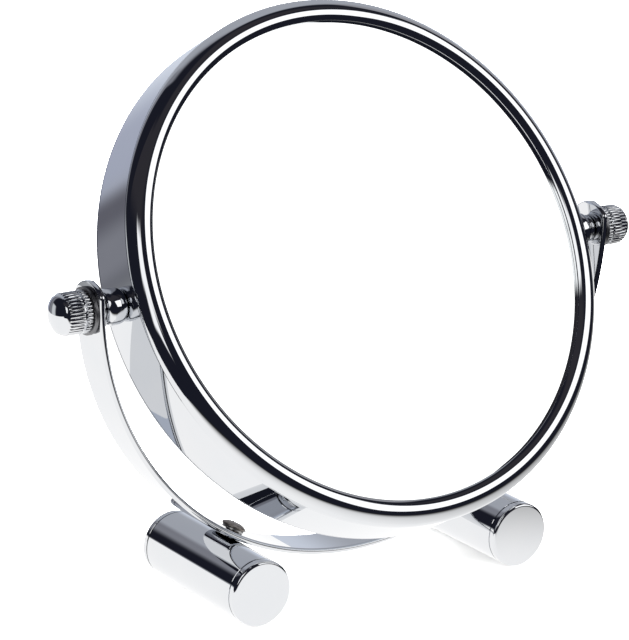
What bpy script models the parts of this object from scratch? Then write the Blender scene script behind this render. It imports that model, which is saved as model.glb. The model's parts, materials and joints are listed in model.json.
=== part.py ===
"""Two-sided tilting table mirror.

A round double mirror in a chrome drum hangs between the arms of a strip yoke. A threaded stud on each
side carries the drum, a pair of round spacers keeps it central, and a knurled thumb nut outside each arm
clamps the tilt. The yoke stands on two round chrome feet, each held by one screw.

Metres, +Z up, front towards -Y. The origin is on the table, below the middle of the tilt axis.
"""

import math

import bmesh
import bpy
from mathutils import Matrix, Vector

MM = 0.001

# Driving dimensions.
SIDES = {"left": -1, "right": 1}
REST_TILT = math.radians(29.0)
RING_STEPS = 64
SMALL_STEPS = 20
BORE_STEPS = 18

# Head: R is a radius from the middle of the glass, and depth runs from the drum's middle to the front.
SHELL_RADIUS = 83.2 * MM
SHELL_WALL = 1.0 * MM
SHELL_HALF_WIDTH = 8.9 * MM
RIM_CREST_RADIUS = 78.3 * MM
RIM_CREST = 13.13 * MM
# Each bend of the rim, from its crest: radius of the curve, slope in degrees at its end, steps.
RIM_OUTER_BENDS = ((4.5 * MM, 38, 3), (14.0 * MM, 46, 1), (2.4 * MM, 90, 3))
RIM_INNER_BENDS = ((4.1 * MM, 40, 2), (0.45 * MM, 90, 1))
GLASS_RADIUS = 80.6 * MM
GLASS_FACE = 10.9 * MM
FLAT_GLASS_THICKNESS = 2.5 * MM
CURVED_GLASS_THICKNESS = 2.0 * MM
MAGNIFIER_RADIUS = 1000.0 * MM
PAD_RADIUS = 79.4 * MM
PAD_INNER_FACE = 5.4 * MM
REAR_PAD_FACE = 7.5 * MM
REAR_PAD_HOLE_RADIUS = 66.0 * MM
CORE_OUTER_RADIUS = 75.0 * MM
CORE_INNER_RADIUS = 71.5 * MM

# Yoke: a flat strip bent round a centre that lies a little above the tilt axis.
YOKE_INNER_RADIUS = 92.5 * MM
YOKE_THICKNESS = 2.0 * MM
YOKE_WIDTH = 15.0 * MM
YOKE_CENTRE_RISE = 4.0 * MM
YOKE_END_RISE = 8.8 * MM
# The strip's rounded ends: 1 is a half ellipse, less is fuller. The tip is this share of the width.
YOKE_END_FULLNESS = 0.8
YOKE_TIP_SHARE = 0.25
YOKE_END_ROUNDING = 4.0 * MM

# Feet: round tubes that lie front to back under the yoke.
FOOT_RADIUS = 10.4 * MM
FOOT_WALL = 1.5 * MM
FOOT_LENGTH = 52.5 * MM
FOOT_SPREAD = 48.9 * MM
FOOT_TO_YOKE_GAP = 0.15 * MM
CAP_THICKNESS = 2.7 * MM
CAP_EDGE = 1.0 * MM
CAP_JOINT = 0.2 * MM
CAP_PLUG_LENGTH = 4.0 * MM
BLOCK_LENGTH = 12.0 * MM
SCREW_LENGTH_PAST_AXIS = 4.0 * MM
SCREW_HEAD_RADIUS = 3.9 * MM
SCREW_HEAD_HEIGHT = 1.7 * MM
SCREW_HEAD_GAP = 0.15 * MM
SPRING_WASHER_RADIUS = 3.5 * MM
SPRING_WASHER_RISE = (0.2 * MM, 0.8 * MM)
PAD_WIDTH = 4.0 * MM
PAD_LENGTH = 38.0 * MM
PAD_THICKNESS = 0.7 * MM
PAD_BELOW_TUBE = 0.35 * MM
PAD_GAP = 0.2 * MM

# Pivots: stations along the tilt axis, measured outwards from the middle of the mirror.
STUD_RADIUS = 2.0 * MM
STUD_START = 75.4 * MM
STUD_END = 102.4 * MM
PLATE_INNER_RADIUS = 80.3 * MM
PLATE_THICKNESS = 1.6 * MM
PLATE_HALF_WIDTH = 4.6 * MM
PLATE_HALF_ANGLE = math.radians(6.0)
NUT_ACROSS_FLATS = 7.0 * MM
STUD_WASHER_RADIUS = 4.4 * MM
NUT_SPAN = (75.8 * MM, 79.0 * MM)
STUD_WASHER_SPAN = (79.2 * MM, 80.0 * MM)
# Each swelling of a spacer: where it starts and ends, and its radius at its ends and at its crest.
DRUM_SWELLINGS = ((83.4 * MM, 90.1 * MM, 4.3 * MM, 5.6 * MM),)
YOKE_SWELLINGS = ((90.25 * MM, 92.15 * MM, 3.7 * MM, 4.4 * MM),)
FRICTION_WASHER_SPAN = (94.55 * MM, 95.75 * MM)
FRICTION_WASHER_RADIUS = 7.2 * MM
THUMB_NUT_START = 95.9 * MM
THUMB_NUT_GROOVE = (97.9 * MM, 98.5 * MM)
KNURL_END = 103.5 * MM
THUMB_NUT_TIP = 106.6 * MM
KNURL_RADIUS = 6.5 * MM
KNURL_DEPTH = 0.35 * MM
KNURL_RIDGES = 34
KNURL_CHAMFER = 0.3 * MM
GROOVE_DEPTH = 0.9 * MM
GROOVE_SLOPE = 0.05 * MM
DOME_STEP = 0.5 * MM

CLEARANCE = 0.3 * MM
# Outline points closer than this are one point.
DRAWN_GAP = 0.001 * MM
THREAD_CLEARANCE = 0.1 * MM
# How far a drill runs past the wall that it cuts.
OVERRUN = 1.0 * MM

YOKE_OUTER_RADIUS = YOKE_INNER_RADIUS + YOKE_THICKNESS
FOOT_AXIS_DISTANCE = YOKE_OUTER_RADIUS + FOOT_TO_YOKE_GAP + FOOT_RADIUS
FOOT_ANGLE = math.asin(FOOT_SPREAD / FOOT_AXIS_DISTANCE)
FOOT_AXIS_HEIGHT = FOOT_RADIUS + PAD_BELOW_TUBE
YOKE_CENTRE_HEIGHT = FOOT_AXIS_HEIGHT + FOOT_AXIS_DISTANCE * math.cos(FOOT_ANGLE)
PIVOT_HEIGHT = YOKE_CENTRE_HEIGHT - YOKE_CENTRE_RISE
BORE_RADIUS = STUD_RADIUS + CLEARANCE


# Materials.


def finish(name, colour, roughness, metallic):
    """A Principled material."""
    material = bpy.data.materials.new(name)
    material.use_nodes = True
    shader = material.node_tree.nodes["Principled BSDF"]
    shader.inputs["Base Color"].default_value = (*colour, 1.0)
    shader.inputs["Roughness"].default_value = roughness
    shader.inputs["Metallic"].default_value = metallic
    return material


# Mesh helpers. Every turned shape is made about local Z.


def circle(radius, steps, clip=None):
    """Points round a circle. clip, if given, is the lowest Y: it leaves a flat along the bottom."""
    points = []
    for step in range(steps):
        angle = 2 * math.pi * step / steps
        y = radius * math.sin(angle)
        points.append((radius * math.cos(angle), y if clip is None else max(y, clip)))
    return points


def hexagon(across_flats, steps):
    """Points on a hexagon's edge at even angles, corners included when steps is a multiple of 6."""
    points = []
    for step in range(steps):
        angle = 2 * math.pi * step / steps
        from_flat = (angle + math.pi / 6) % (math.pi / 3) - math.pi / 6
        radius = across_flats / 2 / math.cos(from_flat)
        points.append((radius * math.cos(angle), radius * math.sin(angle)))
    return points


def knurl(radius, depth, ridges):
    """Points of a straight-knurled outline: one crest and one root for each ridge."""
    points = []
    for step in range(2 * ridges):
        angle = math.pi * step / ridges
        reach = radius - depth * (step % 2)
        points.append((reach * math.cos(angle), reach * math.sin(angle)))
    return points


def stack(loops):
    """A solid skinned over (outline, z) loops, all with as many points, and closed flat at both ends."""
    mesh = bmesh.new()
    rings = [[mesh.verts.new((x, y, z)) for x, y in outline] for outline, z in loops]
    skin(mesh, rings, wrap=False)
    mesh.faces.new(list(reversed(rings[0])))
    mesh.faces.new(rings[-1])
    return mesh


def hollow(outer, inner, low, high):
    """A straight ring solid between two outlines with as many points each."""
    mesh = bmesh.new()
    corners = ((outer, low), (outer, high), (inner, high), (inner, low))
    rings = [[mesh.verts.new((x, y, z)) for x, y in outline] for outline, z in corners]
    skin(mesh, rings, wrap=True)
    return mesh


def skin(mesh, rings, wrap):
    """Quads between neighbouring rings, and from the last to the first if wrap is set."""
    count = len(rings[0])
    pairs = list(zip(rings, rings[1:]))
    if wrap:
        pairs.append((rings[-1], rings[0]))
    for lower, upper in pairs:
        for i in range(count):
            j = (i + 1) % count
            mesh.faces.new((lower[i], lower[j], upper[j], upper[i]))


def turned(profile, steps):
    """A turned ring from a closed profile of (radius, z) points that stays off the axis."""
    mesh = bmesh.new()
    rings = []
    for radius, z in profile:
        rings.append([mesh.verts.new((x, y, z)) for x, y in circle(radius, steps)])
    skin(mesh, rings, wrap=True)
    return mesh


def capped(profile, steps):
    """A turned solid from a profile of (radius, z) points whose two ends lie on the axis."""
    mesh = bmesh.new()
    rings = []
    for radius, z in profile[1:-1]:
        rings.append([mesh.verts.new((x, y, z)) for x, y in circle(radius, steps)])
    skin(mesh, rings, wrap=False)
    start = mesh.verts.new((0, 0, profile[0][1]))
    end = mesh.verts.new((0, 0, profile[-1][1]))
    for i in range(steps):
        j = (i + 1) % steps
        mesh.faces.new((start, rings[0][j], rings[0][i]))
        mesh.faces.new((end, rings[-1][i], rings[-1][j]))
    return mesh


def bent_strip(inner, thickness, stations):
    """A strip bent about local Y: stations are (angle, half width), the angle from local +X up to +Z."""
    mesh = bmesh.new()
    rings = []
    for angle, half in stations:
        ring = []
        outer = inner + thickness
        for radius, y in ((inner, -half), (inner, half), (outer, half), (outer, -half)):
            ring.append(mesh.verts.new((radius * math.cos(angle), y, radius * math.sin(angle))))
        rings.append(ring)
    skin(mesh, rings, wrap=False)
    mesh.faces.new(list(reversed(rings[0])))
    mesh.faces.new(rings[-1])
    return mesh


def add_object(name, mesh, material, parent, matrix=None):
    """Turns a bmesh into a named object, placed by matrix in its parent's frame."""
    bmesh.ops.recalc_face_normals(mesh, faces=mesh.faces)
    data = bpy.data.meshes.new(name)
    mesh.to_mesh(data)
    mesh.free()
    data.materials.append(material)
    data.shade_smooth()
    data.set_sharp_from_angle(angle=math.radians(35))
    item = bpy.data.objects.new(name, data)
    bpy.context.scene.collection.objects.link(item)
    item.parent = parent
    item.matrix_basis = matrix or Matrix.Identity(4)
    return item


def add_empty(name, location, tilt=0.0):
    """An empty that carries the pieces of one moving group."""
    empty = bpy.data.objects.new(name, None)
    empty.location = location
    empty.rotation_euler = (tilt, 0.0, 0.0)
    bpy.context.scene.collection.objects.link(empty)
    return empty


def bore(item, name, radius, start, end, matrix, parent):
    """Cuts a round hole along local Z of matrix, from start to end."""
    mesh = stack([(circle(radius, BORE_STEPS), start), (circle(radius, BORE_STEPS), end)])
    cutter = add_object(name, mesh, item.data.materials[0], parent, matrix)
    cutter.hide_render = True
    cutter.display_type = "WIRE"
    cut = item.modifiers.new(name, "BOOLEAN")
    cut.operation = "DIFFERENCE"
    cut.solver = "EXACT"
    cut.object = cutter


# Directions.


def facing_front():
    """Turns local Z to face the front, -Y, and leaves X alone."""
    return Matrix.Rotation(math.pi / 2, 4, "X")


def facing_out(side):
    """Turns local Z to point outwards along the tilt axis on one side."""
    return Matrix.Rotation(side * math.pi / 2, 4, "Y")


def foot_direction(side):
    """From the yoke's centre out to the middle of one foot."""
    return Vector((side * math.sin(FOOT_ANGLE), 0.0, -math.cos(FOOT_ANGLE)))


def screw_frame(side):
    """Local Z runs inwards, from the foot's axis through the yoke to the yoke's centre."""
    centre = Vector((0.0, 0.0, YOKE_CENTRE_HEIGHT)) + FOOT_AXIS_DISTANCE * foot_direction(side)
    return Matrix.Translation(centre) @ Matrix.Rotation(-side * FOOT_ANGLE, 4, "Y")


# Head.


def bend(start, side, bends):
    """Points outwards or inwards from a crest, along arcs that each steepen from one slope to the next."""
    points = [start]
    slope = 0.0
    for radius, end, steps in bends:
        x, z = points[-1]
        for step in range(1, steps + 1):
            now = math.radians(slope + (end - slope) * step / steps)
            first = math.radians(slope)
            out = radius * (math.sin(now) - math.sin(first))
            points.append((x + side * out, z - radius * (math.cos(first) - math.cos(now))))
        slope = end
    return points


def rim_profile():
    """Bezel: a rounded crest that slopes out to the drum's edge, a lip over the glass and a spigot inside."""
    base = SHELL_HALF_WIDTH + CLEARANCE
    crest = (RIM_CREST_RADIUS, RIM_CREST)
    spigot = SHELL_RADIUS - SHELL_WALL - CLEARANCE
    lip = GLASS_FACE + CLEARANCE
    outer = bend(crest, 1, RIM_OUTER_BENDS)
    inner = bend(crest, -1, RIM_INNER_BENDS)
    profile = [(outer[-1][0], base)] + list(reversed(outer)) + inner[1:]
    profile.append((inner[-1][0], lip))
    profile.append((spigot - SHELL_WALL, lip))
    profile.append((spigot - SHELL_WALL, PAD_INNER_FACE))
    profile.append((spigot, PAD_INNER_FACE))
    profile.append((spigot, base))
    return profile


def add_drum(head, chrome):
    inner = SHELL_RADIUS - SHELL_WALL
    low, high = -SHELL_HALF_WIDTH, SHELL_HALF_WIDTH
    mesh = hollow(circle(SHELL_RADIUS, RING_STEPS), circle(inner, RING_STEPS), low, high)
    shell = add_object("drum_shell", mesh, chrome, head, facing_front())
    for label, side in SIDES.items():
        start, end = inner - CLEARANCE, SHELL_RADIUS + CLEARANCE
        bore(shell, f"{label}_drum_bore", BORE_RADIUS, start, end, facing_out(side), head)
    back = Matrix.Rotation(math.pi, 4, "X")
    add_object("front_bezel", turned(rim_profile(), RING_STEPS), chrome, head, facing_front())
    add_object("rear_bezel", turned(rim_profile(), RING_STEPS), chrome, head, facing_front() @ back)


def curved_face(depth, rings):
    """(radius, depth) points from the edge to the middle of a dished face."""
    points = []
    for step in range(rings):
        radius = GLASS_RADIUS * (1 - step / rings)
        dish = (GLASS_RADIUS**2 - radius**2) / (2 * MAGNIFIER_RADIUS)
        points.append((radius, depth + dish))
    points.append((0.0, depth + GLASS_RADIUS**2 / (2 * MAGNIFIER_RADIUS)))
    return points


def add_glass(head, silver, silver_rear):
    back_face = GLASS_FACE - FLAT_GLASS_THICKNESS
    outline = circle(GLASS_RADIUS, RING_STEPS)
    flat = stack([(outline, back_face), (outline, GLASS_FACE)])
    add_object("front_mirror_glass", flat, silver, head, facing_front())
    rear_rings = 3
    outer = list(reversed(curved_face(-GLASS_FACE, rear_rings)))
    inner = curved_face(-GLASS_FACE + CURVED_GLASS_THICKNESS, rear_rings)
    dished = capped(outer + inner, RING_STEPS)
    add_object("rear_magnifying_glass", dished, silver_rear, head, facing_front())


def add_head_core(head, foam, plastic):
    pad = circle(PAD_RADIUS, RING_STEPS)
    front_limit = GLASS_FACE - FLAT_GLASS_THICKNESS - CLEARANCE
    front_pad = stack([(pad, PAD_INNER_FACE), (pad, front_limit)])
    add_object("front_backing_pad", front_pad, foam, head, facing_front())
    hole = circle(REAR_PAD_HOLE_RADIUS, RING_STEPS)
    rear_pad = hollow(pad, hole, -REAR_PAD_FACE, -PAD_INNER_FACE)
    add_object("rear_backing_ring", rear_pad, foam, head, facing_front())
    half = PAD_INNER_FACE - CLEARANCE
    outer = circle(CORE_OUTER_RADIUS, RING_STEPS)
    inner = circle(CORE_INNER_RADIUS, RING_STEPS)
    add_object("core_spacer_ring", hollow(outer, inner, -half, half), plastic, head, facing_front())


def spacer_profile(swellings):
    """Turned spacer with a bored middle and one or more rounded swellings side by side."""
    steps = 6
    profile = [(BORE_RADIUS, swellings[0][0])]
    for low, high, valley, crest in swellings:
        for step in range(steps + 1):
            place = -1 + 2 * step / steps
            radius = valley + (crest - valley) * math.sqrt(1 - abs(place) ** 3)
            point = (radius, (low + high) / 2 + place * (high - low) / 2)
            if math.dist(point, profile[-1]) > DRAWN_GAP:
                profile.append(point)
    profile.append((BORE_RADIUS, swellings[-1][1]))
    return profile


def add_pivots(head, chrome, steel, brass):
    for label, side in SIDES.items():
        outwards = facing_out(side)
        stud = circle(STUD_RADIUS, BORE_STEPS)
        rod = stack([(stud, STUD_START), (stud, STUD_END)])
        add_object(f"{label}_pivot_stud", rod, steel, head, outwards)
        hole = circle(BORE_RADIUS, BORE_STEPS)
        nut = hollow(hexagon(NUT_ACROSS_FLATS, BORE_STEPS), hole, *NUT_SPAN)
        add_object(f"{label}_stud_nut", nut, brass, head, outwards)
        washer = hollow(circle(STUD_WASHER_RADIUS, BORE_STEPS), hole, *STUD_WASHER_SPAN)
        add_object(f"{label}_stud_washer", washer, steel, head, outwards)
        add_reinforcing_plate(label, side, head, steel)
        drum_spacer = turned(spacer_profile(DRUM_SWELLINGS), SMALL_STEPS)
        add_object(f"{label}_drum_spacer", drum_spacer, chrome, head, outwards)
        yoke_spacer = turned(spacer_profile(YOKE_SWELLINGS), SMALL_STEPS)
        add_object(f"{label}_yoke_spacer", yoke_spacer, chrome, head, outwards)


def add_reinforcing_plate(label, side, head, steel):
    """Curved plate inside the drum wall, which spreads the stud's load."""
    steps = 8
    middle = 0.0 if side > 0 else math.pi
    stations = []
    for step in range(steps + 1):
        angle = middle + PLATE_HALF_ANGLE * (2 * step / steps - 1)
        stations.append((angle, PLATE_HALF_WIDTH))
    mesh = bent_strip(PLATE_INNER_RADIUS, PLATE_THICKNESS, stations)
    plate = add_object(f"{label}_reinforcing_plate", mesh, steel, head)
    start = PLATE_INNER_RADIUS - 2 * CLEARANCE
    end = PLATE_INNER_RADIUS + PLATE_THICKNESS + CLEARANCE
    bore(plate, f"{label}_plate_bore", BORE_RADIUS, start, end, facing_out(side), head)


def add_thumb_nuts(head, chrome):
    """Knurled nut with a groove near the yoke, a domed end and a blind bore for the stud."""
    ridged = knurl(KNURL_RADIUS, KNURL_DEPTH, KNURL_RIDGES)
    count = len(ridged)
    groove = circle(KNURL_RADIUS - GROOVE_DEPTH, count)
    dome_radius = KNURL_RADIUS - DOME_STEP
    loops = [(groove, THUMB_NUT_START)]
    loops.append((ridged, THUMB_NUT_START + KNURL_CHAMFER))
    loops.append((ridged, THUMB_NUT_GROOVE[0]))
    loops.append((groove, THUMB_NUT_GROOVE[0] + GROOVE_SLOPE))
    loops.append((groove, THUMB_NUT_GROOVE[1] - GROOVE_SLOPE))
    loops.append((ridged, THUMB_NUT_GROOVE[1]))
    loops.append((ridged, KNURL_END - KNURL_CHAMFER))
    dome_steps = 4
    for step in range(dome_steps):
        angle = math.pi / 2 * step / dome_steps
        reach = dome_radius * math.cos(angle)
        rise = (THUMB_NUT_TIP - KNURL_END) * math.sin(angle)
        loops.append((circle(reach, count), KNURL_END + rise))
    for label, side in SIDES.items():
        nut = add_object(f"{label}_thumb_nut", stack(loops), chrome, head, facing_out(side))
        start, end = THUMB_NUT_START - CLEARANCE, STUD_END + CLEARANCE
        radius = STUD_RADIUS + THREAD_CLEARANCE
        bore(nut, f"{label}_nut_bore", radius, start, end, facing_out(side), head)


# Stand.


def yoke_stations():
    """(angle, half width) along the strip, from one rounded end round the bottom to the other."""
    rise = YOKE_END_RISE - YOKE_CENTRE_RISE
    end = math.asin(rise / YOKE_INNER_RADIUS)
    rounding = YOKE_END_ROUNDING / YOKE_INNER_RADIUS
    round_steps = 8
    rounded = []
    for step in range(round_steps + 1):
        turn = math.pi / 2 * step / round_steps
        share = max(math.sin(turn) ** YOKE_END_FULLNESS, YOKE_TIP_SHARE)
        rounded.append((end - rounding * (1 - math.cos(turn)), YOKE_WIDTH / 2 * share))
    straight_steps = 60
    start = end - rounding
    finish_angle = -math.pi - start
    middle = []
    for step in range(1, straight_steps):
        middle.append((start + (finish_angle - start) * step / straight_steps, YOKE_WIDTH / 2))
    mirrored = [(-math.pi - angle, half) for angle, half in reversed(rounded)]
    return rounded + middle + mirrored


def add_yoke(stand, chrome, steel):
    mesh = bent_strip(YOKE_INNER_RADIUS, YOKE_THICKNESS, yoke_stations())
    place = Matrix.Translation((0.0, 0.0, YOKE_CENTRE_HEIGHT))
    yoke = add_object("yoke", mesh, chrome, stand, place)
    pivot = Matrix.Translation((0.0, 0.0, PIVOT_HEIGHT))
    for label, side in SIDES.items():
        start, end = YOKE_INNER_RADIUS - 2 * OVERRUN, YOKE_OUTER_RADIUS + 2 * OVERRUN
        bore(yoke, f"{label}_pivot_hole", BORE_RADIUS, start, end, pivot @ facing_out(side), stand)
        start, end = FOOT_RADIUS - OVERRUN, FOOT_RADIUS + YOKE_THICKNESS + 2 * OVERRUN
        bore(yoke, f"{label}_screw_hole", BORE_RADIUS, start, end, screw_frame(side), stand)
        outer = circle(FRICTION_WASHER_RADIUS, SMALL_STEPS)
        washer = hollow(outer, circle(BORE_RADIUS, SMALL_STEPS), *FRICTION_WASHER_SPAN)
        add_object(f"{label}_friction_washer", washer, steel, stand, pivot @ facing_out(side))


def cap_profile():
    """End cap: a flange as wide as the tube, with a softened edge, and a plug that enters the tube."""
    plug = FOOT_RADIUS - FOOT_WALL - CLEARANCE
    joint = FOOT_LENGTH / 2 - CAP_THICKNESS
    profile = [(0.0, joint - CAP_PLUG_LENGTH), (plug, joint - CAP_PLUG_LENGTH), (plug, joint)]
    profile.append((FOOT_RADIUS - CAP_EDGE / 4, joint))
    profile.append((FOOT_RADIUS, joint + CAP_EDGE / 4))
    edge_steps = 2
    for step in range(edge_steps + 1):
        turn = math.pi / 2 * step / edge_steps
        radius = FOOT_RADIUS - CAP_EDGE * (1 - math.cos(turn))
        profile.append((radius, FOOT_LENGTH / 2 - CAP_EDGE * (1 - math.sin(turn))))
    profile.append((0.0, FOOT_LENGTH / 2))
    return profile


def add_feet(stand, chrome, steel, brass, silicone):
    half = FOOT_LENGTH / 2 - CAP_THICKNESS - CAP_JOINT
    flat = -(FOOT_RADIUS + PAD_BELOW_TUBE - PAD_THICKNESS) + PAD_GAP
    steps = 40
    for label, side in SIDES.items():
        axis = Matrix.Translation((side * FOOT_SPREAD, 0.0, FOOT_AXIS_HEIGHT))
        lying = axis @ facing_front()
        outer = circle(FOOT_RADIUS, steps, clip=flat)
        tube_mesh = hollow(outer, circle(FOOT_RADIUS - FOOT_WALL, steps), -half, half)
        tube = add_object(f"{label}_foot_tube", tube_mesh, chrome, stand, lying)
        screw = screw_frame(side)
        start, end = FOOT_RADIUS - FOOT_WALL - OVERRUN, FOOT_RADIUS + OVERRUN
        bore(tube, f"{label}_tube_hole", BORE_RADIUS, start, end, screw, stand)
        turned_back = Matrix.Rotation(math.pi, 4, "X")
        cap = cap_profile()
        add_object(f"{label}_foot_front_cap", capped(cap, steps), chrome, stand, lying)
        add_object(f"{label}_foot_rear_cap", capped(cap, steps), chrome, stand, lying @ turned_back)
        add_foot_fastening(label, screw, lying, stand, steel, brass)
        low = -FOOT_RADIUS - PAD_BELOW_TUBE
        across = ((-PAD_WIDTH / 2, low), (PAD_WIDTH / 2, low))
        above = ((PAD_WIDTH / 2, low + PAD_THICKNESS), (-PAD_WIDTH / 2, low + PAD_THICKNESS))
        strip = across + above
        pad = stack([(strip, -PAD_LENGTH / 2), (strip, PAD_LENGTH / 2)])
        add_object(f"{label}_foot_pad", pad, silicone, stand, lying)


def add_foot_fastening(label, screw, lying, stand, steel, brass):
    """Round-head screw through the yoke and tube, its spring washer, and the threaded block inside."""
    seat = FOOT_AXIS_DISTANCE - YOKE_INNER_RADIUS
    low, high = (seat + rise for rise in SPRING_WASHER_RISE)
    hole = circle(BORE_RADIUS, BORE_STEPS)
    washer = hollow(circle(SPRING_WASHER_RADIUS, BORE_STEPS), hole, low, high)
    add_object(f"{label}_foot_spring_washer", washer, steel, stand, screw)
    head_low = high + SCREW_HEAD_GAP
    tip = -SCREW_LENGTH_PAST_AXIS
    profile = [(0.0, tip), (STUD_RADIUS, tip), (STUD_RADIUS, head_low)]
    dome_steps = 4
    for step in range(dome_steps):
        turn = math.pi / 2 * step / dome_steps
        profile.append((SCREW_HEAD_RADIUS * math.cos(turn), head_low + SCREW_HEAD_HEIGHT * math.sin(turn)))
    profile.append((0.0, head_low + SCREW_HEAD_HEIGHT))
    add_object(f"{label}_foot_screw", capped(profile, BORE_STEPS), steel, stand, screw)
    outline = circle(FOOT_RADIUS - FOOT_WALL - CLEARANCE, SMALL_STEPS)
    mesh = stack([(outline, -BLOCK_LENGTH / 2), (outline, BLOCK_LENGTH / 2)])
    block = add_object(f"{label}_foot_threaded_block", mesh, brass, stand, lying)
    start, end = tip - OVERRUN, FOOT_RADIUS + OVERRUN
    bore(block, f"{label}_block_hole", BORE_RADIUS, start, end, screw, stand)


def main():
    for item in list(bpy.data.objects):
        bpy.data.objects.remove(item, do_unlink=True)
    chrome = finish("chrome", (0.78, 0.79, 0.80), 0.05, 1.0)
    silver = finish("mirror_silver", (0.93, 0.94, 0.94), 0.01, 1.0)
    silver_rear = finish("magnifier_silver", (0.92, 0.93, 0.94), 0.01, 1.0)
    steel = finish("zinc_steel", (0.50, 0.48, 0.46), 0.40, 1.0)
    brass = finish("brass", (0.76, 0.62, 0.34), 0.35, 1.0)
    foam = finish("foam", (0.12, 0.12, 0.13), 0.95, 0.0)
    plastic = finish("core_plastic", (0.85, 0.85, 0.83), 0.55, 0.0)
    silicone = finish("silicone", (0.82, 0.83, 0.82), 0.45, 0.0)
    stand = add_empty("stand_frame", (0.0, 0.0, 0.0))
    head = add_empty("head_frame", (0.0, 0.0, PIVOT_HEIGHT), tilt=-REST_TILT)
    add_drum(head, chrome)
    add_glass(head, silver, silver_rear)
    add_head_core(head, foam, plastic)
    add_pivots(head, chrome, steel, brass)
    add_thumb_nuts(head, chrome)
    add_yoke(stand, chrome, steel)
    add_feet(stand, chrome, steel, brass, silicone)


main()
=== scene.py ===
"""Looks for the two-sided tilting table mirror: fine meshes, materials, studio and camera."""

import json
import math

import bmesh
import bpy
from mathutils import Matrix, Vector


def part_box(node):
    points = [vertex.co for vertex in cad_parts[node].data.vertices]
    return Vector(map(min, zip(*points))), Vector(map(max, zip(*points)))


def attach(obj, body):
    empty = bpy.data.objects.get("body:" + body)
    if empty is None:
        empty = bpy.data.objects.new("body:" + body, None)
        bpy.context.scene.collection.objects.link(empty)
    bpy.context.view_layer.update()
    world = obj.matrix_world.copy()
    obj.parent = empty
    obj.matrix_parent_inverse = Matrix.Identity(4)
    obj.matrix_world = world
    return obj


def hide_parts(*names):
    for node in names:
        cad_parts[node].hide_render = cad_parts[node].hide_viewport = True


MM = 0.001

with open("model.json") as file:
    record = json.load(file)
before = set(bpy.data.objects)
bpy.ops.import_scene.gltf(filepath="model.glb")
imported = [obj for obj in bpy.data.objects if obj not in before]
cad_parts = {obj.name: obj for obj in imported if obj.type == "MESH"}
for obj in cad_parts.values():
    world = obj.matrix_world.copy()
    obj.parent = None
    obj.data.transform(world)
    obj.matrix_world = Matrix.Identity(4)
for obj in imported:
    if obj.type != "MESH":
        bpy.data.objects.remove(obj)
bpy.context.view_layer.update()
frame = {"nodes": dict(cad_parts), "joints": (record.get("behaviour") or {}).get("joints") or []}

# Places. The pivot is the frame's own, and the head leans back by the rest tilt.
TILT_JOINT = next(j for j in frame["joints"] if j["name"] == "mirror_tilt")
PIVOT = Vector(TILT_JOINT["pos_m"])
REST_TILT = math.radians(29.0)
HEAD = Matrix.Translation(PIVOT) @ Matrix.Rotation(-REST_TILT, 4, "X")
# These turn local Z to the front, and then from the front to the back.
FRONT = Matrix.Rotation(math.pi / 2, 4, "X")
TURNED_BACK = Matrix.Rotation(math.pi, 4, "X")
SIDES = {"left": -1, "right": 1}

# Sizes. They are the CAD's, with finer edges, knurls and joints.
SHELL_RADIUS = 83.2 * MM
SHELL_WALL = 1.0 * MM
SHELL_HALF_WIDTH = 9.0 * MM
SHELL_EDGE = 0.12 * MM
RIM_CREST_RADIUS = 78.3 * MM
RIM_CREST = 13.13 * MM
RIM_BASE = 9.12 * MM
RIM_SPIGOT_GAP = 0.3 * MM
RIM_SPIGOT_END = 7.0 * MM
# The rim's section on each side of its crest. Each bend: radius, slope where it ends, and steps.
RIM_OUTER_BENDS = ((4.5 * MM, 38, 22), (14.0 * MM, 46, 8), (2.4 * MM, 90, 16))
RIM_INNER_BENDS = ((4.1 * MM, 40, 18), (0.45 * MM, 90, 10))
GLASS_FACE = 10.9 * MM
GLASS_GAP = 0.1 * MM
GLASS_RADIUS = 80.6 * MM
CURVED_GLASS_THICKNESS = 2.0 * MM
MAGNIFIER_RADIUS = 1000.0 * MM

# Each swelling of a bead: start and end along the tilt axis, radius at its ends and at its crest.
DRUM_SWELLINGS = ((83.4 * MM, 90.1 * MM, 4.3 * MM, 5.6 * MM),)
YOKE_SWELLINGS = ((90.25 * MM, 92.15 * MM, 3.7 * MM, 4.4 * MM),)
COLLAR_RADIUS = 7.2 * MM
COLLAR_EDGE = 0.15 * MM
STUD_HOLE = 2.3 * MM

# The thumb nut's places are measured along the tilt axis from the mirror's middle.
KNURL_RIDGES = 34
RIDGE_POINTS = 12
RIDGE_FULLNESS = 0.6
KNURL_RADIUS = 6.5 * MM
KNURL_DEPTH = 0.45 * MM
KNURL_END = 103.5 * MM
KNURL_LEAD_IN = 0.3 * MM
KNURL_RUN_OUT = 0.35 * MM
NUT_FACE_INSET = 1.0 * MM
NUT_EDGE_INSET = 0.5 * MM
NUT_EDGE_RISE = 0.02 * MM
GROOVE = (97.9 * MM, 98.5 * MM)
GROOVE_DEPTH = 0.7 * MM
GROOVE_EDGE_DEPTH = 0.55 * MM
GROOVE_EDGE = 0.1 * MM
GROOVE_BEVEL = 0.15 * MM
DOME_STEP = 0.4 * MM
NUT_BORE = 2.1 * MM
NUT_BORE_END = 102.7 * MM

YOKE_RISE = 4.0 * MM
YOKE_CENTRE = PIVOT + Vector((0, 0, YOKE_RISE))
YOKE_INNER_RADIUS = 92.5 * MM
YOKE_THICKNESS = 2.0 * MM
YOKE_HALF_WIDTH = 7.5 * MM
YOKE_END_RISE = 8.8 * MM
YOKE_EDGE = 0.95 * MM
YOKE_EDGE_SHARE = 0.45
YOKE_HOLE = (YOKE_INNER_RADIUS - 3 * MM, YOKE_INNER_RADIUS + 5 * MM)
TIP_RADIUS = 10.0 * MM
TIP_CORNER = 2.0 * MM
TIP_LENGTH = 4.4 * MM

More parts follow.
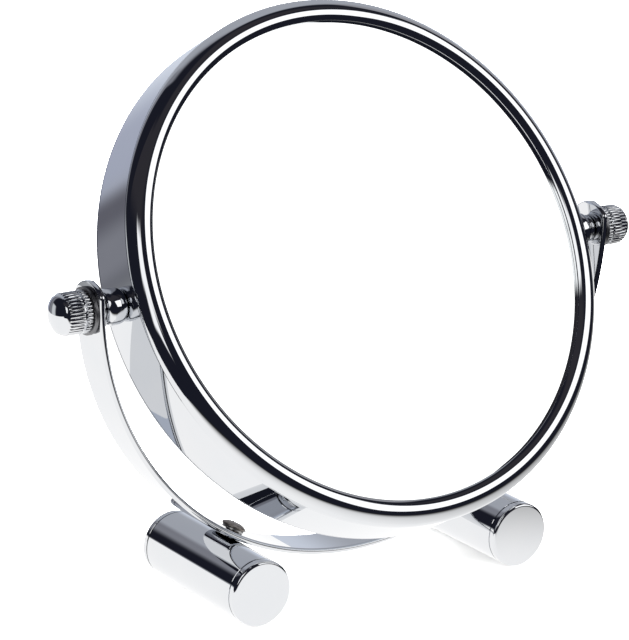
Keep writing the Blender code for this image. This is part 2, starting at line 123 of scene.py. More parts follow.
FOOT_RADIUS = 10.4 * MM
FOOT_HOLE = (FOOT_RADIUS - 1 * MM, FOOT_RADIUS + 5 * MM)
FOOT_WALL = 1.5 * MM
FOOT_HALF_LENGTH = 26.25 * MM
FOOT_GAP = 0.15 * MM
PAD_CLEARANCE = 9.85 * MM
PAD_EDGE = 0.25 * MM
PAD_END_SHARE = 0.9
TUBE_EDGE = 0.1 * MM
CAP_THICKNESS = 2.7 * MM
CAP_ROUNDING = 1.0 * MM
CAP_EDGE = 0.08 * MM
CAP_GROOVE_DEPTH = 0.5 * MM
CAP_GROOVE_WIDTH = 0.3 * MM
PLUG_GAP = 0.3 * MM
PLUG_LENGTH = 4.0 * MM

# What holds a foot. The spring ring's span is measured from the top of the yoke, the shank's start
# from the foot's axis, and the split is half its gap in degrees.
SPRING_RING_SPAN = (0.2 * MM, 0.8 * MM)
SPRING_RING_RADII = (2.3 * MM, 3.5 * MM)
SPRING_RING_SPLIT = 8
SPRING_RING_EDGE = 0.08 * MM
SCREW_GAP = 0.15 * MM
SCREW_EDGE = 0.1 * MM
SCREW_BRIM = 0.3 * MM
SCREW_HEAD_RADIUS = 3.9 * MM
SCREW_HEAD_HEIGHT = 1.7 * MM
SHANK_RADIUS = 2.0 * MM
SHANK_START = -4.0 * MM
CROSS_TURN = 0.35
# The cross recess at its open end and at its bottom: length, width and height above the head.
CROSS_TOP = (4.2 * MM, 0.75 * MM, 0.5 * MM)
CROSS_BOTTOM = (2.2 * MM, 0.5 * MM, -1.3 * MM)

FINE_RING = 384
GLASS_RING = 192
FOOT_RING = 256
SMALL_RING = 128
SCREW_RING = 96
DRILL_RING = 48
# How far a drill runs past the wall that it cuts.
OVERRUN = 1.0 * MM


# Mesh helpers. Turned shapes are made about local Z and then placed by a matrix.


def arc(centre, radii, start, end, steps):
    """Points on an arc of an ellipse in (radius, z), angles in degrees."""
    points = []
    for step in range(steps + 1):
        angle = math.radians(start + (end - start) * step / steps)
        across, along = radii[0] * math.cos(angle), radii[1] * math.sin(angle)
        points.append((centre[0] + across, centre[1] + along))
    return points


def turned(profile, steps, closed):
    """Turns (radius, z) points about Z. If not closed, the first and last are on the axis."""
    mesh = bmesh.new()
    body = profile if closed else profile[1:-1]
    rings = []
    for radius, z in body:
        ring = []
        for step in range(steps):
            angle = 2 * math.pi * step / steps
            x, y = radius * math.cos(angle), radius * math.sin(angle)
            ring.append(mesh.verts.new((x, y, z)))
        rings.append(ring)
    pairs = list(zip(rings, rings[1:]))
    if closed:
        pairs.append((rings[-1], rings[0]))
    for lower, upper in pairs:
        for i in range(steps):
            j = (i + 1) % steps
            mesh.faces.new((lower[i], lower[j], upper[j], upper[i]))
    if not closed:
        first = mesh.verts.new((0, 0, profile[0][1]))
        last = mesh.verts.new((0, 0, profile[-1][1]))
        for i in range(steps):
            j = (i + 1) % steps
            mesh.faces.new((first, rings[0][j], rings[0][i]))
            mesh.faces.new((last, rings[-1][i], rings[-1][j]))
    return mesh


def swept(rings):
    """Skins equal-length rings of points into a solid with flat ends."""
    mesh = bmesh.new()
    made = [[mesh.verts.new(p) for p in ring] for ring in rings]
    count = len(made[0])
    for lower, upper in zip(made, made[1:]):
        for i in range(count):
            j = (i + 1) % count
            mesh.faces.new((lower[i], lower[j], upper[j], upper[i]))
    mesh.faces.new(list(reversed(made[0])))
    mesh.faces.new(made[-1])
    return mesh


def piece(name, mesh, matrix, body, material, replaced=(), sharp=40):
    """Makes the named piece, places it, and hangs it on its CAD body."""
    mesh.transform(matrix)
    bmesh.ops.recalc_face_normals(mesh, faces=mesh.faces)
    data = bpy.data.meshes.new(name)
    mesh.to_mesh(data)
    mesh.free()
    data.shade_smooth()
    data.set_sharp_from_angle(angle=math.radians(sharp))
    data.materials.append(material)
    item = bpy.data.objects.new(name, data)
    bpy.context.scene.collection.objects.link(item)
    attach(item, body)
    if replaced:
        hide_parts(*replaced)
    return item


def even_shading(item):
    """Lets the broad faces keep their flat normals beside narrow rounded edges."""
    weighted = item.modifiers.new("even_shading", "WEIGHTED_NORMAL")
    weighted.keep_sharp = True
    weighted.weight = 100


def cut(item, mesh, matrix):
    """Cuts the shape in mesh, placed by matrix, out of the item."""
    mesh.transform(matrix)
    bmesh.ops.recalc_face_normals(mesh, faces=mesh.faces)
    data = bpy.data.meshes.new("cutter")
    mesh.to_mesh(data)
    mesh.free()
    cutter = bpy.data.objects.new("cutter", data)
    bpy.context.scene.collection.objects.link(cutter)
    hole = item.modifiers.new("hole", "BOOLEAN")
    hole.operation = "DIFFERENCE"
    hole.solver = "EXACT"
    hole.object = cutter
    bpy.context.view_layer.update()
    graph = bpy.context.evaluated_depsgraph_get()
    result = bpy.data.meshes.new_from_object(item.evaluated_get(graph))
    item.modifiers.clear()
    old = item.data
    item.data = result
    result.name = item.name
    bpy.data.meshes.remove(old)
    bpy.data.objects.remove(cutter)


def drill(item, radius, start, end, matrix):
    """Cuts a round hole along local Z of matrix."""
    rod = [(0, start), (radius, start), (radius, end), (0, end)]
    cut(item, turned(rod, DRILL_RING, closed=False), matrix)


def out_along(side):
    """Local Z outwards along the tilt axis."""
    return Matrix.Rotation(side * math.pi / 2, 4, "Y")


# Materials. A noise stays mostly between these two values.
NOISE_LOW = 0.3
NOISE_HIGH = 0.7
RELIEF_STRENGTH = 0.6
PLAIN = (1, 1, 1)


def noise(nodes, links, scale, detail, stretch):
    """Object-space noise, stretched along an axis for brushed or turned marks."""
    place = nodes.new("ShaderNodeTexCoord")
    size = nodes.new("ShaderNodeMapping")
    size.inputs["Scale"].default_value = stretch
    links.new(place.outputs["Object"], size.inputs["Vector"])
    grain = nodes.new("ShaderNodeTexNoise")
    grain.inputs["Scale"].default_value = scale
    grain.inputs["Detail"].default_value = detail
    links.new(size.outputs["Vector"], grain.inputs["Vector"])
    return grain.outputs["Fac"]


def spread(nodes, links, source, low, high):
    """Maps the middle of a noise to low..high."""
    reach = nodes.new("ShaderNodeMapRange")
    reach.inputs["From Min"].default_value = NOISE_LOW
    reach.inputs["From Max"].default_value = NOISE_HIGH
    reach.inputs["To Min"].default_value = low
    reach.inputs["To Max"].default_value = high
    links.new(source, reach.inputs["Value"])
    return reach.outputs["Result"]


def surface(name, dark, light, rough, metal, scale, detail=3.0, stretch=PLAIN, depth=0.0):
    """A material whose colour and roughness each vary between two values, and its fine relief."""
    material = bpy.data.materials.new(name)
    material.use_nodes = True
    nodes, links = material.node_tree.nodes, material.node_tree.links
    shader = nodes["Principled BSDF"]
    shader.inputs["Metallic"].default_value = metal
    grain = noise(nodes, links, scale, detail, stretch)
    shade = nodes.new("ShaderNodeMix")
    shade.data_type = "RGBA"
    shade.inputs["A"].default_value = (*dark, 1.0)
    shade.inputs["B"].default_value = (*light, 1.0)
    links.new(spread(nodes, links, grain, 0.0, 1.0), shade.inputs["Factor"])
    links.new(shade.outputs["Result"], shader.inputs["Base Color"])
    links.new(spread(nodes, links, grain, *rough), shader.inputs["Roughness"])
    if depth:
        relief = nodes.new("ShaderNodeBump")
        relief.inputs["Strength"].default_value = RELIEF_STRENGTH
        relief.inputs["Distance"].default_value = depth
        links.new(grain, relief.inputs["Height"])
        links.new(relief.outputs["Normal"], shader.inputs["Normal"])
    return material


CHROME = surface(
    "chrome", (0.685, 0.70, 0.725), (0.705, 0.715, 0.735), (0.012, 0.028), 1.0, 60.0)
SILVER = surface(
    "silvered_glass", (0.925, 0.94, 0.935), (0.935, 0.95, 0.945), (0.002, 0.005), 1.0, 20.0)
ZINC = surface(
    "zinc_steel", (0.22, 0.19, 0.17), (0.42, 0.38, 0.35), (0.3, 0.5), 1.0, 900.0, 4.0,
    PLAIN, 0.02 * MM)
STEEL = surface(
    "machined_steel", (0.42, 0.41, 0.40), (0.56, 0.55, 0.54), (0.28, 0.42), 1.0, 1500.0, 4.0,
    (8, 1, 1), 0.01 * MM)
BRASS = surface(
    "turned_brass", (0.62, 0.47, 0.22), (0.80, 0.64, 0.35), (0.22, 0.4), 1.0, 1400.0, 4.0,
    (1, 6, 1), 0.01 * MM)
DARK_STEEL = surface(
    "burnished_steel", (0.20, 0.20, 0.21), (0.28, 0.28, 0.29), (0.34, 0.46), 1.0, 900.0, 3.0,
    PLAIN, 0.01 * MM)
FOAM = surface(
    "closed_cell_foam", (0.012, 0.012, 0.014), (0.03, 0.03, 0.034), (0.85, 1.0), 0.0, 1800.0, 2.0,
    PLAIN, 0.15 * MM)
PLASTIC = surface(
    "moulded_plastic", (0.74, 0.74, 0.71), (0.80, 0.80, 0.77), (0.42, 0.58), 0.0, 700.0, 3.0,
    PLAIN, 0.02 * MM)
SILICONE = surface(
    "clear_silicone", (0.66, 0.68, 0.67), (0.74, 0.76, 0.75), (0.35, 0.55), 0.0, 500.0, 2.0,
    PLAIN, 0.02 * MM)

# Endings of the names of the CAD nodes that stay as they are.
CARRIED_OVER = {
    "front_mirror_glass": SILVER,
    "front_backing_pad": FOAM,
    "rear_backing_ring": FOAM,
    "core_spacer_ring": PLASTIC,
    "reinforcing_plate": STEEL,
    "pivot_stud": STEEL,
    "stud_washer": STEEL,
    "stud_nut": BRASS,
    "foot_threaded_block": BRASS,
}


def finish_carried_over():
    """Gives each CAD node that stays its own material."""
    for name, item in frame["nodes"].items():
        for ending, material in CARRIED_OVER.items():
            if name.endswith(ending):
                item.data.materials.clear()
                item.data.materials.append(material)


# Head.


def slope_curve(start, side, bends):
    """Points down from start, outwards or inwards, along arcs that get steeper and steeper."""
    points = [start]
    slope = 0.0
    for radius, end, steps in bends:
        x, z = points[-1]
        for step in range(1, steps + 1):
            turn = slope + (end - slope) * step / steps
            first, now = math.radians(slope), math.radians(turn)
            out = radius * (math.sin(now) - math.sin(first))
            points.append((x + side * out, z - radius * (math.cos(first) - math.cos(now))))
        slope = end
    return points


def rim_profile():
    """The rim's rounded face, the lip over the glass, and the spigot inside the drum wall."""
    crest = (RIM_CREST_RADIUS, RIM_CREST)
    outer = slope_curve(crest, 1, RIM_OUTER_BENDS)
    inner = slope_curve(crest, -1, RIM_INNER_BENDS)
    spigot = SHELL_RADIUS - SHELL_WALL - RIM_SPIGOT_GAP
    lip = GLASS_FACE + GLASS_GAP
    profile = [(outer[-1][0], RIM_BASE)] + list(reversed(outer)) + inner[1:]
    profile += [(inner[-1][0], lip), (spigot - SHELL_WALL, lip)]
    profile += [(spigot - SHELL_WALL, RIM_SPIGOT_END), (spigot, RIM_SPIGOT_END)]
    return profile + [(spigot, RIM_BASE)]


def add_drum():
    inner, outer, half = SHELL_RADIUS - SHELL_WALL, SHELL_RADIUS, SHELL_HALF_WIDTH
    profile = [(inner, -half), (outer - SHELL_EDGE, -half), (outer, -half + SHELL_EDGE)]
    profile += [(outer, half - SHELL_EDGE), (outer - SHELL_EDGE, half), (inner, half)]
    shell = piece("drum_wall", turned(profile, FINE_RING, True), HEAD @ FRONT, "head",
                  CHROME, ["drum_shell"])
    for side in SIDES.values():
        drill(shell, STUD_HOLE, inner - OVERRUN, outer + OVERRUN, HEAD @ out_along(side))
    for end, turn in (("front", Matrix.Identity(4)), ("rear", TURNED_BACK)):
        rim = turned(rim_profile(), FINE_RING, True)
        piece(f"{end}_rim", rim, HEAD @ FRONT @ turn, "head", CHROME, [f"{end}_bezel"])


def add_rear_glass():
    """A dished disc, hollow towards the back."""
    rings = 48
    outer, inner = [], []
    for step in range(rings + 1):
        radius = GLASS_RADIUS * step / rings
        dish = (GLASS_RADIUS**2 - radius**2) / (2 * MAGNIFIER_RADIUS)
        outer.append((radius, -GLASS_FACE + dish))
        inner.append((radius, -GLASS_FACE + CURVED_GLASS_THICKNESS + dish))
    glass = turned(outer + list(reversed(inner)), GLASS_RING, False)
    piece("magnifying_glass", glass, HEAD @ FRONT, "head", SILVER,
          ["rear_magnifying_glass"])


def bead_profile(swellings):
    """A bored bead with one or more rounded swellings side by side."""
    steps = 40
    profile = [(STUD_HOLE, swellings[0][0])]
    for low, high, valley, crest in swellings:
        middle, half = (low + high) / 2, (high - low) / 2
        for step in range(steps):
            place = -math.cos(math.pi * step / steps)
            swell = math.sqrt(max(0.0, 1 - abs(place) ** 3))
            profile.append((valley + (crest - valley) * swell, middle + place * half))
    profile += [(swellings[-1][2], swellings[-1][1]), (STUD_HOLE, swellings[-1][1])]
    return profile


def add_spacers(label, side):
    place = HEAD @ out_along(side)
    for name, node, swellings in (("drum_bead", "drum_spacer", DRUM_SWELLINGS),
                                  ("yoke_bead", "yoke_spacer", YOKE_SWELLINGS)):
        mesh = turned(bead_profile(swellings), SMALL_RING, True)
        piece(f"{label}_{name}", mesh, place, "head", CHROME, [f"{label}_{node}"])


def knurl_ring(inset, depth, z):
    """A ring of rounded ridges between narrow valleys, inset from the knurl's outside."""
    ring = []
    count = KNURL_RIDGES * RIDGE_POINTS
    for step in range(count):
        angle = 2 * math.pi * step / count
        phase = (step % RIDGE_POINTS) / RIDGE_POINTS
        valley = 1 - math.sin(math.pi * phase) ** RIDGE_FULLNESS
        reach = KNURL_RADIUS - inset - depth * valley
        ring.append((reach * math.cos(angle), reach * math.sin(angle), z))
    return ring


def add_thumb_nut(label, side):
    """Knurled nut with a turned groove and a domed end."""
    low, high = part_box(f"{label}_thumb_nut")
    start, tip = sorted(abs(v) for v in (low.x, high.x))
    groove_start, groove_end = GROOVE
    rings = [
        knurl_ring(NUT_FACE_INSET, 0.0, start),
        knurl_ring(NUT_EDGE_INSET, 0.0, start + NUT_EDGE_RISE),
        knurl_ring(0.0, KNURL_DEPTH, start + KNURL_LEAD_IN),
        knurl_ring(0.0, KNURL_DEPTH, groove_start - GROOVE_BEVEL),
        knurl_ring(GROOVE_EDGE_DEPTH, 0.0, groove_start),
        knurl_ring(GROOVE_DEPTH, 0.0, groove_start + GROOVE_EDGE),
        knurl_ring(GROOVE_DEPTH, 0.0, groove_end - GROOVE_EDGE),
        knurl_ring(GROOVE_EDGE_DEPTH, 0.0, groove_end),
        knurl_ring(0.0, KNURL_DEPTH, groove_end + GROOVE_BEVEL),
        knurl_ring(0.0, KNURL_DEPTH, KNURL_END - KNURL_RUN_OUT),
    ]
    dome = KNURL_RADIUS - DOME_STEP
    steps = 24
    for step in range(steps):
        angle = math.pi / 2 * step / steps
        inset = KNURL_RADIUS - dome * math.cos(angle)
        rings.append(knurl_ring(inset, 0.0, KNURL_END + (tip - KNURL_END) * math.sin(angle)))
    place = HEAD @ out_along(side)
    nut = piece(f"{label}_knurled_nut", swept(rings), place, f"{label}_knob", CHROME,
                [f"{label}_thumb_nut"], sharp=50)
    drill(nut, NUT_BORE, start - OVERRUN, NUT_BORE_END, place)


def add_washer(label, side):
    low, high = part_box(f"{label}_friction_washer")
    start, end = sorted(abs(v) for v in (low.x, high.x))
    radius, edge = COLLAR_RADIUS, COLLAR_EDGE
    profile = [(STUD_HOLE, start), (radius - edge, start)]
    profile += arc((radius - edge, start + edge), (edge, edge), -90, 0, 4)[1:]
    profile += arc((radius - edge, end - edge), (edge, edge), 0, 90, 4)
    profile += [(STUD_HOLE, end)]
    place = Matrix.Translation(PIVOT) @ out_along(side)
    piece(f"{label}_collar", turned(profile, SMALL_RING, True), place, "stand",
          DARK_STEEL, [f"{label}_friction_washer"])


# Stand.


def end_half_width(distance):
    """Half the strip's width at a distance from its tip: a shallow arc with rounded corners."""
    across = YOKE_HALF_WIDTH - TIP_CORNER
    reach = TIP_RADIUS - TIP_CORNER
    along = TIP_RADIUS - math.sqrt(reach**2 - across**2)
    meet = TIP_RADIUS - (TIP_RADIUS - along) * TIP_RADIUS / reach
    if distance >= along:
        return YOKE_HALF_WIDTH
    if distance >= meet:
        return across + math.sqrt(TIP_CORNER**2 - (along - distance) ** 2)
    return math.sqrt(TIP_RADIUS**2 - (TIP_RADIUS - distance) ** 2)


def strip_ring(angle, half):
    """The strip's cross-section, with softened edges, at an angle round the yoke's centre."""
    edge = min(YOKE_EDGE, half * YOKE_EDGE_SHARE)
    corners = ((1, 1), (-1, 1), (-1, -1), (1, -1))
    middle = YOKE_INNER_RADIUS + YOKE_THICKNESS / 2
    ring = []
    steps = 8
    for index, (out, across) in enumerate(corners):
        for step in range(steps + 1):
            turn = math.radians(90 * index + 90 * step / steps)
            r = middle + out * (YOKE_THICKNESS / 2 - edge) + edge * math.cos(turn)
            y = across * (half - edge) + edge * math.sin(turn)
            ring.append((r * math.cos(angle), y, r * math.sin(angle)))
    return ring


def add_yoke():
    """A bent strip, from one tip round the bottom to the other."""
    end = math.asin((YOKE_END_RISE - YOKE_RISE) / YOKE_INNER_RADIUS)
    tip_steps = 40
    mean = YOKE_INNER_RADIUS + YOKE_THICKNESS / 2
    tips = []
    for step in range(1, tip_steps + 1):
        distance = TIP_LENGTH * (step / tip_steps) ** 2
        tips.append((end - distance / mean, end_half_width(distance)))
    start = tips[-1][0]
    finish = -math.pi - start
    steps = 360
    middle = [(start + (finish - start) * i / steps, YOKE_HALF_WIDTH) for i in range(1, steps)]
    stations = tips + middle + [(-math.pi - a, w) for a, w in reversed(tips)]
    strip = swept([strip_ring(a, w) for a, w in stations])
    place = Matrix.Translation(YOKE_CENTRE)
    yoke = piece("yoke_strip", strip, place, "stand", CHROME, ["yoke"], sharp=60)
    for side in SIDES.values():
        drill(yoke, STUD_HOLE, *YOKE_HOLE, Matrix.Translation(PIVOT) @ out_along(side))
    even_shading(yoke)


def add_foot(label):
    """A tube closed by two discs, a pad under it, and the screw that holds it to the yoke."""
    low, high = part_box(f"{label}_foot_front_cap")
    axis = Vector(((low.x + high.x) / 2, 0.0, (low.z + high.z) / 2))
    place = Matrix.Translation(axis) @ FRONT
    joint = FOOT_HALF_LENGTH - CAP_THICKNESS
    half = joint - FOOT_GAP
    inner, outer = FOOT_RADIUS - FOOT_WALL, FOOT_RADIUS
    profile = [(inner, -half), (outer - TUBE_EDGE, -half), (outer, -half + TUBE_EDGE)]
    profile += [(outer, half - TUBE_EDGE), (outer - TUBE_EDGE, half), (inner, half)]
    mesh = turned(profile, FOOT_RING, True)
    for corner in mesh.verts:
        corner.co.y = max(corner.co.y, -PAD_CLEARANCE)
    tube = piece(f"{label}_tube", mesh, place, "stand", CHROME, [f"{label}_foot_tube"],
                 sharp=12)
    for end, turn in (("front", Matrix.Identity(4)), ("rear", TURNED_BACK)):
        disc = turned(cap_profile(joint, inner - PLUG_GAP), FOOT_RING, False)
        even_shading(piece(f"{label}_{end}_disc", disc, place @ turn, "stand", CHROME,
                           [f"{label}_foot_{end}_cap"]))
    add_foot_pad(label)
    screw = foot_screw_frame(axis)
    drill(tube, STUD_HOLE, inner - OVERRUN, outer + OVERRUN, screw)
    drill(bpy.data.objects["yoke_strip"], STUD_HOLE, *FOOT_HOLE, screw)
    add_foot_fastening(label, screw)


def cap_profile(joint, plug):
    """A disc with a fine groove at its joint with the tube, and a plug inside the tube."""
    outer, back, groove = FOOT_RADIUS, joint - PLUG_LENGTH, joint + CAP_GROOVE_WIDTH
    neck = outer - CAP_GROOVE_DEPTH
    profile = [(0, back), (plug, back), (plug, joint), (neck, joint), (neck, groove)]
    profile += [(outer - CAP_EDGE, groove), (outer, groove + CAP_EDGE)]
    bend = CAP_ROUNDING
    profile += arc((outer - bend, FOOT_HALF_LENGTH - bend), (bend, bend), 0, 90, 10)
    return profile + [(0, FOOT_HALF_LENGTH)]


def foot_screw_frame(axis):
    """Local Z runs from the foot's axis through the yoke to the yoke's centre."""
    lean = math.atan2(axis.x - YOKE_CENTRE.x, YOKE_CENTRE.z - axis.z)
    return Matrix.Translation(axis) @ Matrix.Rotation(-lean, 4, "Y")


def spring_ring(low, high):
    """A flat ring with a split. Each corner of its section is two points, a softened edge apart."""
    inside, outside = SPRING_RING_RADII
    corners = ((outside, 1, low, -1), (outside, 1, high, 1),
               (inside, -1, high, 1), (inside, -1, low, -1))
    rings = []
    steps = 96
    for step in range(steps + 1):
        turned_by = SPRING_RING_SPLIT + (360 - 2 * SPRING_RING_SPLIT) * step / steps
        angle = math.radians(turned_by)
        ring = []
        for radius, out, height, up in corners:
            for share in (1, -1) if out == up else (-1, 1):
                r = radius - out * SPRING_RING_EDGE * (share < 0)
                z = height - up * SPRING_RING_EDGE * (share > 0)
                ring.append((r * math.cos(angle), r * math.sin(angle), z))
        rings.append(ring)
    return swept(rings)


def add_foot_fastening(label, screw):
    """Cross-head screw with a domed head, over a split spring washer."""
    seat = FOOT_RADIUS + FOOT_GAP + YOKE_THICKNESS
    low, high = (seat + rise for rise in SPRING_RING_SPAN)
    piece(f"{label}_spring_ring", spring_ring(low, high), screw, "stand", STEEL,
          [f"{label}_foot_spring_washer"])
    under, radius, edge = high + SCREW_GAP, SCREW_HEAD_RADIUS, SCREW_EDGE
    profile = [(0, SHANK_START), (SHANK_RADIUS, SHANK_START), (SHANK_RADIUS, under)]
    profile += [(radius - edge, under), (radius, under + edge)]
    dome = (radius, SCREW_HEAD_HEIGHT - SCREW_BRIM)
    profile += arc((0, under + SCREW_BRIM), dome, 0, 90, 24)[:-1]
    profile += [(0, under + SCREW_HEAD_HEIGHT)]
    head = piece(f"{label}_cross_screw", turned(profile, SCREW_RING, False), screw, "stand",
                 ZINC, [f"{label}_foot_screw"])
    for turn in (CROSS_TURN, CROSS_TURN + math.pi / 2):
        cross = bmesh.new()
        bmesh.ops.create_cube(cross, size=1.0)
        for corner in cross.verts:
            length, width, height = CROSS_TOP if corner.co.z > 0 else CROSS_BOTTOM
            corner.co.x *= length
            corner.co.y *= width
            corner.co.z = under + SCREW_HEAD_HEIGHT + height
        cut(head, cross, screw @ Matrix.Rotation(turn, 4, "Z"))


def add_foot_pad(label):
    """Soft strip under the foot, with rounded edges and ends."""
    low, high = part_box(f"{label}_foot_pad")
    middle = (low + high) / 2
    half = (high - low) / 2
    edge = PAD_EDGE
    steps = 4
    rings = []
    angles = [math.radians(a) for a in (0, 30, 60, 90)]
    ends = [(-half.y + edge * (1 - math.cos(a)), edge * (1 - math.sin(a))) for a in angles]
    stations = ends + [(-y, inset) for y, inset in reversed(ends)]
    for y, inset in stations:
        rounding = edge - inset * PAD_END_SHARE
        ring = []
        for index, (across, up) in enumerate(((1, 1), (-1, 1), (-1, -1), (1, -1))):
            for step in range(steps + 1):
                turn = math.radians(90 * index + 90 * step / steps)
                x = across * (half.x - edge) + rounding * math.cos(turn)
                z = up * (half.z - edge) + rounding * math.sin(turn)
                ring.append((middle.x + x, middle.y + y, middle.z + z))
        rings.append(ring)
    piece(f"{label}_grip_strip", swept(rings), Matrix.Identity(4), "stand", SILICONE,
          [f"{label}_foot_pad"])


# Studio. Polished metal reflects the room. The camera and matt surfaces see plain light instead.
ROOM_SHADE = (0.013, 0.014, 0.023)
SEEN_BY_MATT = (6.0, 6.0, 6.0)
SEEN_BY_CAMERA = (1.0, 1.0, 1.0)
# The room's panels, each laid over the ones before: its first and last turn, its lowest and highest
# height, the softness of those four edges, all in degrees, and its colour. A turn is measured from
# the object's right, and is positive towards its front.
CARDS = (
    ((-119, -30), (-40, 74), (4, 8, 1, 4), (0.26, 0.265, 0.30)),
    ((-101, -22), (-40, 70), (6, 10, 1, 6), (0.46, 0.48, 0.53)),
    ((-101, -60), (-40, 12), (6, 10, 1, 8), (0.47, 0.50, 0.61)),
    ((-76, -22), (-40, 13), (10, 9, 1, 8), (0.70, 0.75, 0.85)),
    ((-30, -5), (8, 48), (8, 3, 4, 3), (0.38, 0.38, 0.41)),
    ((-109, -102), (-40, 30), (3, 3, 1, 6), (0.15, 0.15, 0.18)),
    ((-138, -121), (-40, 6), (4, 4, 1, 2), (0.72, 0.74, 0.76)),
    ((10, 181), (48, 74), (10, 0.5, 6, 4), (0.035, 0.033, 0.04)),
    ((20, 63), (10, 41.5), (1.5, 1.5, 1.5, 1.5), (1.6, 1.6, 1.6)),
    ((110, 146), (30, 48), (2, 2, 4, 3), (1.3, 1.3, 1.3)),
    ((121, 142), (18, 32), (2, 2, 2, 4), (1.3, 1.3, 1.3)),
)


def math_node(nodes, links, operation, *sources):
    """A math node fed by sockets or numbers."""
    node = nodes.new("ShaderNodeMath")
    node.operation = operation
    for socket, source in zip(node.inputs, sources):
        if isinstance(source, (int, float)):
            socket.default_value = source
        else:
            links.new(source, socket)
    return node.outputs["Value"]


def smooth(nodes, links, value, start, end):
    """0 before start and 1 after end."""
    step = nodes.new("ShaderNodeMapRange")
    step.interpolation_type = "SMOOTHSTEP"
    step.inputs["From Min"].default_value = start
    step.inputs["From Max"].default_value = end
    links.new(value, step.inputs["Value"])
    return step.outputs["Result"]


def card(nodes, links, below, place, turns, heights, soft, colour):
    """Lays a soft-edged panel over the room below."""
    turn, height = place
    parts = [smooth(nodes, links, turn, turns[0] - soft[0], turns[0] + soft[0]),
             smooth(nodes, links, turn, turns[1] + soft[1], turns[1] - soft[1]),
             smooth(nodes, links, height, heights[0] - soft[2], heights[0] + soft[2]),
             smooth(nodes, links, height, heights[1] + soft[3], heights[1] - soft[3])]
    mask = parts[0]
    for part in parts[1:]:
        mask = math_node(nodes, links, "MULTIPLY", mask, part)
    mix = nodes.new("ShaderNodeMix")
    mix.data_type = "RGBA"
    links.new(mask, mix.inputs["Factor"])
    links.new(below, mix.inputs["A"])
    mix.inputs["B"].default_value = (*colour, 1.0)
    return mix.outputs["Result"]


def add_room():
    """The world: the panels by direction, or plain light for matt surfaces and the camera."""
    world = bpy.data.worlds.new("room")
    world.use_nodes = True
    bpy.context.scene.world = world
    nodes, links = world.node_tree.nodes, world.node_tree.links
    shader = nodes["Background"]
    ray = nodes.new("ShaderNodeTexCoord")
    axes = nodes.new("ShaderNodeSeparateXYZ")
    links.new(ray.outputs["Generated"], axes.inputs["Vector"])
    to_front = math_node(nodes, links, "MULTIPLY", axes.outputs["Y"], -1.0)
    turn = math_node(nodes, links, "ARCTAN2", to_front, axes.outputs["X"])
    turn = math_node(nodes, links, "DEGREES", turn)
    height = math_node(nodes, links, "ARCSINE", axes.outputs["Z"])
    height = math_node(nodes, links, "DEGREES", height)
    walls = nodes.new("ShaderNodeRGB")
    walls.outputs["Color"].default_value = (*ROOM_SHADE, 1.0)
    room = walls.outputs["Color"]
    place = (turn, height)
    for turns, heights, soft, colour in CARDS:
        room = card(nodes, links, room, place, turns, heights, soft, colour)
    kind = nodes.new("ShaderNodeLightPath")
    for flag, colour in (("Is Diffuse Ray", SEEN_BY_MATT), ("Is Camera Ray", SEEN_BY_CAMERA)):
        pick = nodes.new("ShaderNodeMix")
        pick.data_type = "RGBA"
        links.new(kind.outputs[flag], pick.inputs["Factor"])
        links.new(room, pick.inputs["A"])
        pick.inputs["B"].default_value = (*colour, 1.0)
        room = pick.outputs["Result"]
    links.new(room, shader.inputs["Color"])


# The camera sees the whole floor. In its place, polished metal sees a strip of lit paper, turned
# from the X axis, with a raised far edge. Its light fades out between two places at its near edge.
FLOOR_HALF = 1.5
STRIP_TURN = math.radians(30.0)
STRIP_ACROSS = (-0.30, 0.19)
STRIP_ALONG = (-0.7, 2.2)
STRIP_EDGE_RISE = 0.039
STRIP_EDGE_LEAN = 0.01
STRIP_FADE = (0.172, 0.045)
STRIP_LIGHT = 1.18
STRIP_LEAST_LIGHT = 0.02
STRIP_COLOUR = (1.0, 0.995, 0.985)


def add_sheet(name, corners, material, reflected):
    """A staged sheet, from rows of two corners. A reflected one shows in polished metal only."""
    mesh = bmesh.new()
    rows = [[mesh.verts.new(corner) for corner in row] for row in corners]
    for near, far in zip(rows, rows[1:]):
        mesh.faces.new((near[0], near[1], far[1], far[0]))
    data = bpy.data.meshes.new(name)
    mesh.to_mesh(data)
    mesh.free()
    data.materials.append(material)
    sheet = bpy.data.objects.new(name, data)
    bpy.context.scene.collection.objects.link(sheet)
    sheet.visible_camera = sheet.visible_diffuse = sheet.visible_shadow = not reflected
    sheet.visible_glossy = reflected
    return sheet


def lit_sheet():
    """Evenly lit paper: it glows, and fades across local Y."""
    material = bpy.data.materials.new("lit_paper")
    material.use_nodes = True
    nodes, links = material.node_tree.nodes, material.node_tree.links
    nodes.remove(nodes["Principled BSDF"])
    glow = nodes.new("ShaderNodeEmission")
    glow.inputs["Color"].default_value = (*STRIP_COLOUR, 1.0)
    place = nodes.new("ShaderNodeTexCoord")
    axes = nodes.new("ShaderNodeSeparateXYZ")
    links.new(place.outputs["Object"], axes.inputs["Vector"])
    level = smooth(nodes, links, axes.outputs["Y"], *STRIP_FADE)
    level = math_node(nodes, links, "MULTIPLY_ADD", level, STRIP_LIGHT, STRIP_LEAST_LIGHT)
    links.new(level, glow.inputs["Strength"])
    links.new(glow.outputs["Emission"], nodes["Material Output"].inputs["Surface"])
    return material


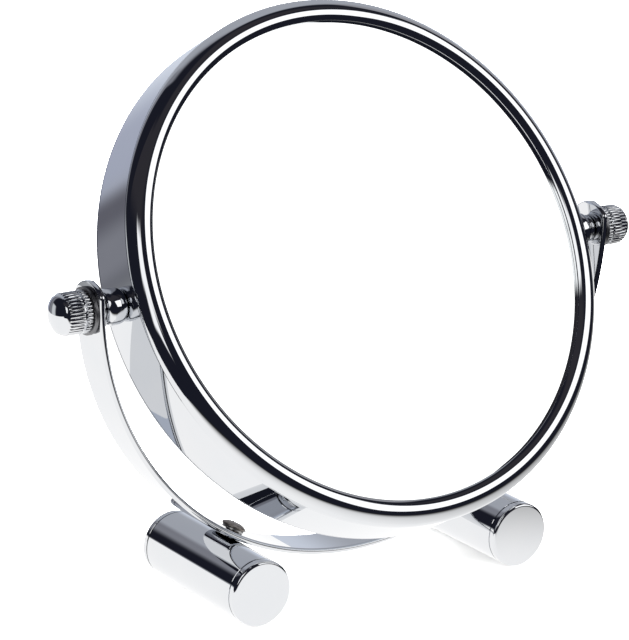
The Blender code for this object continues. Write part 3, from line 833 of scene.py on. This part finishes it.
def add_floor():
    """Pale sheet that the mirror stands on, and the lit strip that its metal reflects."""
    paper = surface("pale_paper", (0.90, 0.90, 0.89), (0.92, 0.92, 0.91), (0.8, 0.9), 0.0, 90.0)
    half = FLOOR_HALF
    rows = (((-half, -half, 0), (half, -half, 0)), ((-half, half, 0), (half, half, 0)))
    add_sheet("floor", rows, paper, False)
    far, near = STRIP_ACROSS
    start, end = STRIP_ALONG
    back, rise = far - STRIP_EDGE_LEAN, STRIP_EDGE_RISE
    rows = (((start, near, 0), (end, near, 0)), ((start, far, 0), (end, far, 0)),
            ((start, back, rise), (end, back, rise)))
    strip = add_sheet("floor_reflected", rows, lit_sheet(), True)
    # Local X runs along the strip and local Y across it, towards the near edge.
    along = Vector((math.cos(STRIP_TURN), math.sin(STRIP_TURN), 0.0))
    across = Vector((math.sin(STRIP_TURN), -math.cos(STRIP_TURN), 0.0))
    strip.matrix_world = Matrix((along, across, Vector((0, 0, 1)))).transposed().to_4x4()


LIGHT_SIZE = 1.6
LIGHT_POWER = 40.0
LIGHT_PLACE = (0.3, -0.2, 1.6)


def add_lights():
    """One wide soft light overhead, for the matt parts and the floor."""
    data = bpy.data.lights.new("overhead", "AREA")
    data.shape = "DISK"
    data.size = LIGHT_SIZE
    data.energy = LIGHT_POWER
    light = bpy.data.objects.new("overhead", data)
    light.location = LIGHT_PLACE
    light.rotation_euler = (Vector((0, 0, 0)) - light.location).to_track_quat("-Z", "Y").to_euler()
    light.visible_glossy = False
    light.visible_camera = False
    bpy.context.scene.collection.objects.link(light)


# The camera looks at a spot near the pivot axis, offset to its own right and up.
CAMERA_AZIMUTH = math.radians(-34.58)
CAMERA_ELEVATION = math.radians(16.74)
CAMERA_ROLL = math.radians(1.32)
CAMERA_DISTANCE = 969.0 * MM
CAMERA_OFFSET_RIGHT = -12.0 * MM
CAMERA_OFFSET_UP = -16.4 * MM
CAMERA_LENS = 177.33
CAMERA_SENSOR = 36.0
CAMERA_CLIP = 0.05


def add_camera():
    data = bpy.data.cameras.new("camera")
    camera = bpy.data.objects.new("camera", data)
    bpy.context.scene.collection.objects.link(camera)
    data.sensor_fit = "VERTICAL"
    data.sensor_height = CAMERA_SENSOR
    data.lens = CAMERA_LENS
    data.clip_start = CAMERA_CLIP
    sine, cosine = math.sin(CAMERA_AZIMUTH), math.cos(CAMERA_AZIMUTH)
    level, fall = math.cos(CAMERA_ELEVATION), math.sin(CAMERA_ELEVATION)
    ahead = Vector((-sine * level, cosine * level, -fall))
    right = Vector((cosine, sine, 0.0))
    up = right.cross(ahead)
    rolled_right = math.cos(CAMERA_ROLL) * right + math.sin(CAMERA_ROLL) * up
    rolled_up = -math.sin(CAMERA_ROLL) * right + math.cos(CAMERA_ROLL) * up
    spot = PIVOT + CAMERA_OFFSET_RIGHT * rolled_right + CAMERA_OFFSET_UP * rolled_up
    spot -= CAMERA_DISTANCE * ahead
    turn = Matrix((rolled_right, rolled_up, -ahead)).transposed().to_4x4()
    camera.matrix_world = Matrix.Translation(spot) @ turn
    bpy.context.scene.camera = camera


add_camera()
bpy.context.scene.view_settings.view_transform = "Standard"
add_room()
add_floor()
add_lights()
finish_carried_over()
add_drum()
add_rear_glass()
add_yoke()
for side_label, side_sign in SIDES.items():
    add_spacers(side_label, side_sign)
    add_thumb_nut(side_label, side_sign)
    add_washer(side_label, side_sign)
    add_foot(side_label)
